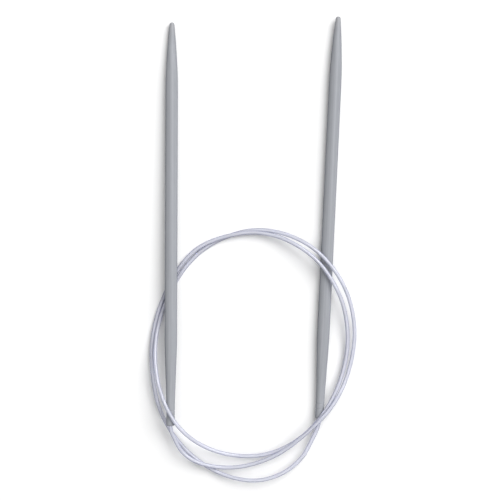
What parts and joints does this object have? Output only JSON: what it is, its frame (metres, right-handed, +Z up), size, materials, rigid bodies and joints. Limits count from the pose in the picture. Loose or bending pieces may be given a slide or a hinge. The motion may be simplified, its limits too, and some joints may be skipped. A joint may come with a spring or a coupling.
{
  "type": "circular knitting needle",
  "caption": "Circular knitting needle: pointed aluminium needles joined by a clear nylon cord that lies in loose turns.",
  "frame": {"origin": "on the table, below the middle of the box round the two needles", "axes": "+Z up, +Y towards the needles' points, +X from the left needle to the right one"},
  "size_m": [0.0668, 0.1505, 0.0106],
  "materials": {
    "grey_aluminium": "satin grey coating",
    "clear_nylon": "clear, slightly lilac",
    "brass_sleeve": "plain"
  },
  "bodies": {
    "cord": {"cord": "clear_nylon"},
    "left_needle": {"left_needle": "grey_aluminium", "left_crimp_sleeve": "brass_sleeve", "left_cord_end": "clear_nylon"},
    "right_needle": {"right_needle": "grey_aluminium", "right_crimp_sleeve": "brass_sleeve", "right_cord_end": "clear_nylon"}
  },
  "joints": [
    {"name": "left_swing", "type": "hinge", "parent": "cord", "child": "left_needle", "pos_m": [-0.0266, -0.0659, 0.00535], "axis": [0, 0, 1], "range_deg": [-4, 5], "stiffness_Nm_per_rad": 0.0075},
    {"name": "right_swing", "type": "hinge", "parent": "cord", "child": "right_needle", "pos_m": [0.0213, -0.064, 0.002], "axis": [0, 0, 1], "range_deg": [-5, 6], "stiffness_Nm_per_rad": 0.0075}
  ]
}
